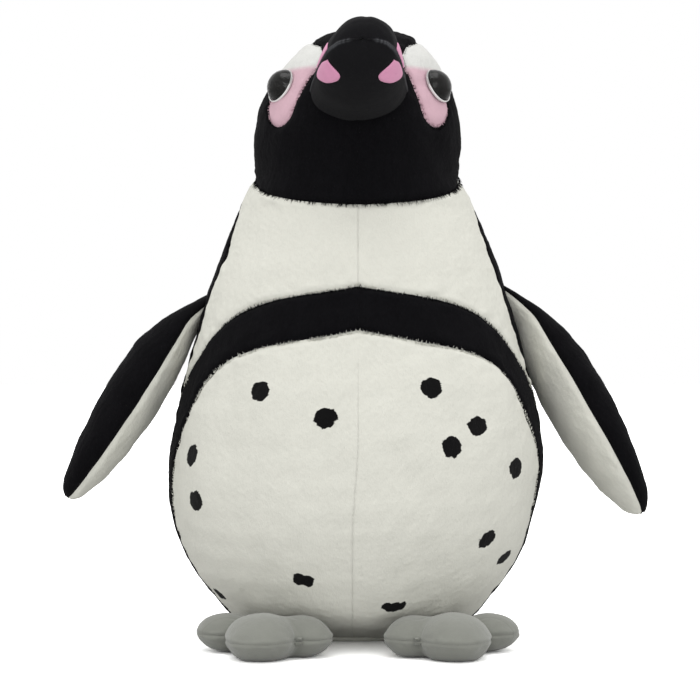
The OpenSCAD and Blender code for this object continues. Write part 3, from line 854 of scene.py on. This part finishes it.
pupil_plastic, tree, shader = wired("eye_plastic")
place = node(tree, "ShaderNodeTexCoord").outputs["Object"]
swirl = node(tree, "ShaderNodeTexNoise", [("Vector", place), ("Scale", 260.0)]).outputs[0]
shade = node(tree, "ShaderNodeMix", [("Factor", swirl), (6, (0.006, 0.0055, 0.005, 1)),
                                     (7, (0.010, 0.009, 0.0075, 1))], data_type="RGBA")
tree.links.new(shade.outputs[2], shader.inputs["Base Color"])
shader.inputs["Roughness"].default_value = 0.5
shader.inputs["Specular IOR Level"].default_value = 0.05
clear_plastic, tree, shader = wired("eye_clear")
place = node(tree, "ShaderNodeTexCoord").outputs["Object"]
flow = node(tree, "ShaderNodeTexNoise", [("Vector", place), ("Scale", 90.0)]).outputs[0]
gloss = node(tree, "ShaderNodeMapRange", [("Value", flow), ("To Min", 0.01), ("To Max", 0.035)])
tree.links.new(gloss.outputs[0], shader.inputs["Roughness"])
shader.inputs["Transmission Weight"].default_value = 1
shader.inputs["IOR"].default_value = 1.31

for side_name, side in both:
    spot, way = head_lean(mirrored(eye_spot, side)), mirrored(eye_way, side)
    pupil = turned_solid(dome(pupil_size / 2, pupil_rise, 0.15), spot, way)
    stem = turned_solid([[0, 0.3], [2, 0.3], [2, -12], [0, -12.6]], spot, way, 32)
    core = sewn(f"eye_pupil_{side_name}", [pupil, stem], pupil_plastic)
    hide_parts(f"eye_{side_name}")
    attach(core, "head")
    glass = sewn(f"eye_dome_{side_name}", [turned_solid(dome(eye_size / 2, eye_rise, 0.0), spot, way)],
                 clear_plastic)
    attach(glass, "head")

# Each clear dome has a thin pale grey ring at its rim. The ring is a painted highlight for the bright
# crescents of light in the clear plastic, so it is set a little low and outward, where those crescents show.
rim_highlight_paint, tree, shader = wired("eye_rim_highlight")
place = node(tree, "ShaderNodeTexCoord").outputs["Object"]
polish = node(tree, "ShaderNodeTexNoise", [("Vector", place), ("Scale", 400.0)]).outputs[0]
gloss = node(tree, "ShaderNodeMapRange", [("Value", polish), ("To Min", 0.05), ("To Max", 0.2)])
tree.links.new(gloss.outputs[0], shader.inputs["Roughness"])
shader.inputs["Base Color"].default_value = (0.8, 0.8, 0.78, 1)
for side_name, side in both:
    spot, way = head_lean(mirrored(eye_spot, side)), mirrored(eye_way, side)
    low_out = np.array([0.55 * side, 0, -0.75])
    low_out = low_out - way * (low_out @ way)
    rim_ring = turned_solid([[6.7, -0.5], [6.7, 0.3], [6.9, 0.5], [7.05, 0.4], [7.12, 0.1], [7.12, -0.5],
                             [6.7, -0.5]], spot + 0.5 * low_out / np.linalg.norm(low_out), way)
    rim_piece = sewn(f"eye_rim_highlight_{side_name}", [rim_ring], rim_highlight_paint)
    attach(rim_piece, "head")

washer_plastic, tree, shader = wired("washer_plastic")
place = node(tree, "ShaderNodeTexCoord").outputs["Object"]
milky = node(tree, "ShaderNodeTexNoise", [("Vector", place), ("Scale", 300.0)]).outputs[0]
shade = node(tree, "ShaderNodeMix", [("Factor", milky), (6, (0.78, 0.78, 0.75, 1)),
                                     (7, (0.85, 0.85, 0.83, 1))], data_type="RGBA")
tree.links.new(shade.outputs[2], shader.inputs["Base Color"])
shader.inputs["Roughness"].default_value = 0.4
for side_name, side in both:
    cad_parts[f"eye_washer_{side_name}"].data.materials.clear()
    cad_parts[f"eye_washer_{side_name}"].data.materials.append(washer_plastic)

# ---------------------------------------------------------------- Flippers
# Each flipper is a stuffed pocket: black plush outside and cream plush inside, sewn round the
# edge and set into the seam behind the chest.
flipper_root, flipper_tip = np.array([67.3, 0, 134.0]), np.array([118, -10, 54.0])
# Each flipper hangs a little differently: tip, and direction from its front edge to its back edge.
flipper_hangs = {"left": ([115.5, -10, 50.5], [-0.33, 0.94, -0.18]),
                 "right": ([118, -10, 57], [-0.05, 1, 0])}
flipper_bows = [[-0.12, 0], [0, 0.8], [0.12, 3], [0.25, 4], [0.45, 2.5], [0.7, 0.5], [1, 0]]
flipper_halves = [[-0.12, 11], [0, 13], [0.15, 15.5], [0.4, 18.5], [0.6, 18], [0.8, 14.5],
                  [0.92, 9.5], [0.98, 5], [1, 0.3]]
flipper_fills = [[-0.12, 2], [0, 4.2], [0.1, 6], [0.2, 7.8], [0.34, 9.5], [0.5, 10.6], [0.7, 9.8],
                 [0.85, 7.6], [0.95, 4.8], [1, 0.3]]


def pocket(root, tip, chord, halves, fills, share, turn, tuck=0.0, bows=((0, 0), (1, 0))):
    """A flat stuffed shape: at each share of the way from root to tip an oval section, chord * cos
    wide and thick * sin(turn). Its root is tucked sideways into the body by up to tuck, and the
    outer side swells further by the table bows."""
    way = tip - root
    chord = chord / np.linalg.norm(chord)
    up = np.cross(way, chord)
    up /= np.linalg.norm(up)
    t = np.radians(turn)
    bend = ((0.06 - share) / 0.18).clip(0, 1) ** 1.5
    thick = sized(fills, share) + np.interp(share, *np.array(bows, float).T) * (t < np.pi)
    p = root + way * share[..., None] - chord * (sized(halves, share) * np.cos(t))[..., None] \
        + up * (thick * np.sin(t))[..., None]
    return p - np.array([1.0, 0, 0]) * (bend * tuck)[..., None]


def inflated(points, pinned, pressure=4.0, cap=2.5):
    """Cloth simulation of a closed pocket: a ring grid of points with a cap at each end swells
    under pressure for 20 frames with gravity off. No point moves more than cap."""
    rows, columns = points.shape[:2]
    g = np.arange(rows * columns).reshape(rows, columns)
    after = np.roll(g, -1, 1)
    faces = np.stack([g[:-1], g[1:], after[1:], after[:-1]], -1).reshape(-1, 4).tolist()
    faces += [g[0].tolist()[::-1], g[-1].tolist()]
    mesh = bpy.data.meshes.new("pocket")
    mesh.from_pydata((points.reshape(-1, 3) / 1000).tolist(), [], faces)
    bag = bpy.data.objects.new("pocket", mesh)
    scene.collection.objects.link(bag)
    held = bag.vertex_groups.new(name="held")
    held.add(g[pinned].ravel().tolist(), 1.0, "REPLACE")
    shaped = bmesh.new()
    shaped.from_mesh(mesh)
    bmesh.ops.recalc_face_normals(shaped, faces=shaped.faces)
    shaped.to_mesh(mesh)
    shaped.free()
    cloth = bag.modifiers.new("cloth", "CLOTH")
    cloth.settings.use_pressure = True
    cloth.settings.uniform_pressure_force = pressure
    cloth.settings.effector_weights.gravity = 0
    cloth.settings.vertex_group_mass = "held"
    cloth.settings.tension_stiffness = cloth.settings.compression_stiffness = 25
    cloth.settings.bending_stiffness = 0.6
    for number in range(1, 21):
        scene.frame_set(number)
    final = bag.evaluated_get(bpy.context.evaluated_depsgraph_get())
    moved = np.empty(rows * columns * 3)
    final.data.vertices.foreach_get("co", moved)
    scene.frame_set(1)
    bpy.data.objects.remove(bag)
    step = moved.reshape(points.shape) * 1000 - points
    far = np.linalg.norm(step, axis=-1, keepdims=True)
    return points + step * np.minimum(1, cap / (far + 1e-9))


def finer(grid, times, ring):
    """Catmull-Rom refinement of a grid along both directions. ring closes the second one."""
    def along(g):
        t = np.linspace(0, 1, times, endpoint=False).reshape(1, -1, 1, 1)
        a, b, c, d = (g[k:len(g) - 3 + k, None] for k in range(4))
        run = 0.5 * (2 * b + (c - a) * t + (2 * a - 5 * b + 4 * c - d) * t ** 2
                     + (3 * b - a - 3 * c + d) * t ** 3)
        return run.reshape(-1, *g.shape[1:])
    ends = np.concatenate([[2 * grid[0] - grid[1]], grid, [2 * grid[-1] - grid[-2]]])
    grid = np.concatenate([along(ends), grid[-1:]])
    turned = grid.transpose(1, 0, 2)
    if ring:
        return along(np.concatenate([turned[-1:], turned, turned[:2]])).transpose(1, 0, 2)
    ends = np.concatenate([[2 * turned[0] - turned[1]], turned, [2 * turned[-1] - turned[-2]]])
    return np.concatenate([along(ends), turned[-1:]]).transpose(1, 0, 2)


def pocket_halves(name, soft_grid, side, seam_columns, groove=0.7):
    """Cuts a refined ring grid along its seam into two cloth halves with thickness, and sinks the
    seam. Tufts lean over it from both halves."""
    grid = mirrored(soft_grid, side)
    centre = grid.mean(1, keepdims=True)
    ringed = np.concatenate([grid[:, -1:], grid, grid[:, :1]], 1)
    normal = grid_normal(ringed, ringed - np.concatenate([centre] * ringed.shape[1], 1))[:, 1:-1]
    first, second = seam_columns
    seam = np.concatenate([grid[:, first], grid[::-1, second]])
    away = nearness(grid, seam)
    lift = 0.18 * dimple(grid) + 0.06 * nap(grid) - groove * np.exp(-(away / 1.2) ** 2) \
        + 0.25 * pucker(grid) * np.exp(-(away / 4) ** 2) * (away / 3).clip(0, 1)
    outer = grid + normal * lift[..., None]
    inner = grid - normal * (groove + cloth_thickness * 0.8)
    size = grid.shape[1]
    halves = []
    for k, (start, stop) in enumerate(((first, second), (second, first + size))):
        pick = np.arange(start, stop + 1) % size
        parts = [closed_cloth(outer[:, pick], inner[:, pick])]
        for column in (start % size, stop % size):
            line = outer[:, column]
            over = grid[:, column] - grid[:, pick[len(pick) // 2]]
            up = normal[:, column]
            over = over - up * (over * up).sum(-1, keepdims=True)
            over /= np.linalg.norm(over, axis=-1, keepdims=True) + 1e-9
            parts.append(tufts(line, up, over, 7 * k + column + len(name), long=1.3))
        halves.append(parts)
    return halves


share, turn = np.meshgrid(1 - (1 - np.linspace(0, 1, 19)) ** 1.25, np.arange(0, 360, 15),
                          indexing="ij")
share = -0.12 + 1.115 * share
flipper_bend = (flipper_tip - flipper_root) / np.linalg.norm(flipper_tip - flipper_root) * 15
flipper_fibres = {}
for side_name, side in both:
    tip, chord = (np.array(part, float) for part in flipper_hangs[side_name])
    soft_grid = inflated(pocket(flipper_root, tip, chord, flipper_halves, flipper_fills, share, turn, 9.0,
                                flipper_bows), slice(0, 2))
    fine_grid = finer(soft_grid, 7, True)
    tip_cap = np.repeat(fine_grid[-1:].mean(1, keepdims=True), fine_grid.shape[1], 1)
    fine_grid = np.concatenate([fine_grid, (fine_grid[-1:] + tip_cap) / 2 + (tip - flipper_root) * 0.002,
                                tip_cap + (tip - flipper_root) * 0.003])
    rings = fine_grid[4:-14:4, ::4]
    middles = rings.mean(1, keepdims=True)
    reach = np.linalg.norm(rings - middles, axis=-1, keepdims=True)
    flipper_fibres[side_name] = mirrored(middles + (rings - middles) * (1 - 3.8 / reach).clip(0.12, 1), side)
    half_way, seam_drop = fine_grid.shape[1] // 2, fine_grid.shape[1] // 15
    outside, inside = pocket_halves("flipper", fine_grid, side, (-seam_drop, half_way))
    for name, parts, material, slot in (("outer", outside, black_pile, "black_pile"),
                                        ("inner", inside, cream_pile, "cream_pile")):
        piece = sewn(f"flipper_{name}_{side_name}_cloth", parts, material)
        start = mirrored(flipper_root - flipper_bend * 0.25, side)
        end = mirrored(flipper_root + flipper_bend, side)
        dressed([piece], 0.8, slot, "torso", f"flipper_{side_name}", tuple(start / 1000),
                tuple(end / 1000))

# ---------------------------------------------------------------- Feet
# Each foot is a pillow of grey velour with three toes: an upper and a sole joined by a seam at
# mid height, drawn in deeply between the toes. It is sewn under the front edge of the base.
foot_middle = np.array([36, -50.0])
# Each lobe as [direction, distance from the foot's middle, half length, half width, height].
foot_lobes = [[-86, 13.5, 17, 14.3, 9.8], [-152, 16.5, 12.8, 10, 8.2], [20, 16.5, 12.8, 10.4, 7.6],
              [90, 1, 11, 13, 5.5]]
seam_height = 7.5


def lobe_axes(way):
    """The directions along and across a lobe."""
    a = math.radians(way)
    return np.array([math.cos(a), math.sin(a)]), np.array([-math.sin(a), math.cos(a)])


def foot_outline(angle):
    """How far the foot reaches in each direction: the farthest crossing of a ray with any lobe's
    oval, then eased a little at the creases."""
    ray = np.stack([np.cos(np.radians(angle)), np.sin(np.radians(angle))], -1)
    reach = np.zeros(angle.shape)
    for way, off, long_half, wide_half, _ in foot_lobes:
        e, f = lobe_axes(way)
        d = np.stack([ray @ e / long_half, ray @ f / wide_half], -1)
        c = np.array([off / long_half, 0.0])
        dot, dd = d @ c, (d ** 2).sum(-1)
        root = dot ** 2 - dd * (c @ c - 1)
        reach = np.maximum(reach, np.where(root > 0, (dot + np.sqrt(root.clip(0))) / dd, 0))
    for _ in range(2):
        reach = (np.roll(reach, 1) + 2 * reach + np.roll(reach, -1)) / 4
    return reach


def foot_surface(angle, share, upper):
    """The lobes are half ellipsoids over their ovals, height * sqrt(1 - distance^2), joined by
    the sixth root of the sum of their sixth powers. Underneath they are flattened on the floor."""
    a = np.radians(angle)
    flat = foot_outline(angle)[:, None] * share * np.stack([np.cos(a), np.sin(a)], -1)
    puff = 0
    for way, off, long_half, wide_half, height in foot_lobes:
        e, f = lobe_axes(way)
        far = ((flat @ e - off) / long_half) ** 2 + ((flat @ f) / wide_half) ** 2
        puff = puff + (height * np.sqrt((1 - far).clip(0))) ** 6
    puff = puff ** (1 / 6) * (1 - share ** 12) ** 0.5
    rise = puff if upper else -puff * 0.92
    return np.concatenate([flat + foot_middle, np.maximum(seam_height + rise, 0.25)[:, None]], -1)


grey_velour = velour("grey_velour", (0.215, 0.22, 0.195), 0.3, 0.35)
angle = np.arange(0, 360, 4.0)
top_shares = np.sin(np.radians([5, 15, 26, 37, 48, 58, 67, 75, 82]))
rings = [foot_surface(angle, share, True) for share in top_shares]
rings += [foot_surface(angle, 1.0, True)]
rings += [foot_surface(angle, share, False) for share in top_shares[::-1]]
foot_soft = np.array(rings)
foot_soft = inflated(foot_soft, slice(0, 1), 4.0, 1.2)
foot_soft[..., 2] = np.maximum(foot_soft[..., 2], 0.3)
foot_fine = finer(foot_soft, 6, True)
foot_seam_row = 9 * 6
for side_name, side in both:
    grid = mirrored(foot_fine, side)
    ringed = np.concatenate([grid[:, -1:], grid, grid[:, :1]], 1)
    core = np.array([foot_middle[0] * side, foot_middle[1], seam_height])
    hint = np.zeros(ringed.shape)
    hint[..., 2] = np.where(np.arange(len(grid)) <= foot_seam_row, 1, -1)[:, None]
    hint += 0.02 * (ringed - core)
    normal = grid_normal(ringed, hint)[:, 1:-1]
    away = nearness(grid, grid[foot_seam_row])
    lift = 0.12 * dimple(grid) + 0.02 * nap(grid) - 0.8 * np.exp(-(away / 0.7) ** 2) \
        + 0.3 * pucker(grid * 1.3) * np.exp(-(away / 3.5) ** 2) * (away / 2).clip(0, 1)
    outer = grid + normal * lift[..., None]
    inner = grid - normal * 1.3
    outer[..., 2] = np.maximum(outer[..., 2], 0.1)
    closed = np.arange(grid.shape[1] + 1) % grid.shape[1]
    for name, rows in (("upper", slice(0, foot_seam_row + 1)), ("sole", slice(foot_seam_row, None))):
        piece = sewn(f"foot_{name}_{side_name}_cloth", [closed_cloth(outer[rows][:, closed],
                                                               inner[rows][:, closed])],
                     grey_velour)
        dressed([piece], 0.85, "grey_velour", f"foot_{side_name}")

# ---------------------------------------------------------------- Tail
# A short flat pocket of black plush, upper and under side sewn round the edge.
tail_root, tail_tip, tail_chord = np.array([0, 57.5, 18]), np.array([0, 88, 7.5]), np.array([-1, 0, 0])
tail_halves = [[-0.3, 13], [0, 15], [0.5, 15], [0.8, 10], [0.95, 5], [1, 0.3]]
tail_fills = [[-0.3, 3], [0, 4], [0.15, 5], [0.4, 6], [0.8, 4], [0.95, 2.5], [1, 0.3]]
share, turn = np.meshgrid(1 - (1 - np.linspace(0, 1, 12)) ** 1.4, np.arange(0, 360, 15),
                          indexing="ij")
tail_soft = pocket(tail_root, tail_tip, tail_chord, tail_halves, tail_fills, -0.3 + 1.295 * share, turn)
tail_fine = finer(inflated(tail_soft, slice(0, 2), 4.0, 1.5), 6, True)
tail_fine = np.concatenate([tail_fine, np.repeat(tail_fine[-1:].mean(1, keepdims=True),
                                                 tail_fine.shape[1], 1)])
top, under = pocket_halves("tail", tail_fine, 1, (0, tail_fine.shape[1] // 2))
for name, parts in (("tail_upper", top), ("tail_under", under)):
    piece = sewn(f"{name}_cloth", parts, black_pile)
    dressed([piece], 0.8, "black_pile", "tail")

# ---------------------------------------------------------------- Fill
# Polyester fibre in every pocket, and a cotton bag of plastic pellets in the base.
fibre_fill, tree, shader = wired("fibre_fill")
place = node(tree, "ShaderNodeTexCoord").outputs["Object"]
fluff = node(tree, "ShaderNodeTexNoise", [("Vector", place), ("Scale", 180.0), ("Detail", 5.0),
                                          ("Distortion", 1.5)]).outputs[0]
shade = node(tree, "ShaderNodeMix", [("Factor", fluff), (6, (0.7, 0.7, 0.69, 1)),
                                     (7, (0.92, 0.92, 0.91, 1))], data_type="RGBA")
bump = node(tree, "ShaderNodeBump", [("Height", fluff), ("Distance", 0.002)])
tree.links.new(shade.outputs[2], shader.inputs["Base Color"])
tree.links.new(bump.outputs[0], shader.inputs["Normal"])
shader.inputs["Roughness"].default_value = 1
pellet_cloth, tree, shader = wired("pellet_cloth")
place = node(tree, "ShaderNodeTexCoord").outputs["Object"]
beads = node(tree, "ShaderNodeTexVoronoi", [("Vector", place), ("Scale", 260.0)]).outputs["Distance"]
weave = node(tree, "ShaderNodeTexNoise", [("Vector", place), ("Scale", 1600.0)]).outputs[0]
shade = node(tree, "ShaderNodeMix", [("Factor", weave), (6, (0.55, 0.52, 0.44, 1)),
                                     (7, (0.68, 0.65, 0.56, 1))], data_type="RGBA")
bump = node(tree, "ShaderNodeBump", [("Height", beads), ("Distance", 0.0015)])
bump.invert = True
tree.links.new(shade.outputs[2], shader.inputs["Base Color"])
tree.links.new(bump.outputs[0], shader.inputs["Normal"])
shader.inputs["Roughness"].default_value = 0.95


def wad(name, rings, stands_for):
    """A closed body of fibre from a grid of rings, with a pole at the middle of each end ring."""
    ends = [np.repeat(ring.mean(0, keepdims=True), len(ring), 0)[None]
            for ring in (rings[0], rings[-1])]
    rings = np.concatenate([ends[0], rings, ends[1]])
    rings = np.concatenate([rings, rings[:, :1]], 1)
    g = np.arange(rings.shape[0] * rings.shape[1]).reshape(rings.shape[:2])
    faces = np.stack([g[:-1, :-1], g[1:, :-1], g[1:, 1:], g[:-1, 1:]], -1).reshape(-1, 4)
    made = sewn(name, [(rings.reshape(-1, 3), faces)], fibre_fill)
    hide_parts(stands_for)
    return made


# The fibre in the head fills it to fibre_depth under the skin, and down to just above the neck.
fibre_depth = 4.2
tilt, turn = np.meshgrid(np.radians(np.linspace(3, 177, 50)), np.radians(np.arange(0, 360, 5)),
                         indexing="ij")
ray = np.stack([np.sin(tilt) * np.cos(turn), np.sin(tilt) * np.sin(turn), np.cos(tilt)], -1)
to_cloth = np.linalg.norm(to_skin(head_centre + ray) - head_centre, axis=-1) - fibre_depth
fall = ray @ neck_way
above_neck, level = 1.2, -0.02      # gap to the neck's plane, and the flattest ray that meets it
drop = (neck_middle - head_centre) @ neck_way + above_neck
to_neck = np.where(fall < level, drop / np.minimum(fall, level), 999)
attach(wad("head_fibre", head_lean(head_centre + ray * np.minimum(to_cloth, to_neck)[..., None]),
            "head_stuffing"), "head")
share, turn = np.meshgrid(np.linspace(0.04, 0.93, 40), np.linspace(-90, 90, 32), indexing="ij")
over, below = (on_beak(share, turn, upper, -2.4) for upper in (True, False))
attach(wad("beak_fibre", head_lean(np.concatenate([over, below[:, -2:0:-1]], 1)), "beak_stuffing"), "head")
for side_name, side in both:
    fibre = wad(f"flipper_fibre_{side_name}", flipper_fibres[side_name], f"flipper_stuffing_{side_name}")
    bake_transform(fibre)
for name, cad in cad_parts.items():
    if name.endswith("stuffing") or "_stuffing_" in name or name == "pellet_bag":
        cad.data.materials.clear()
        cad.data.materials.append(pellet_cloth if name == "pellet_bag" else fibre_fill)
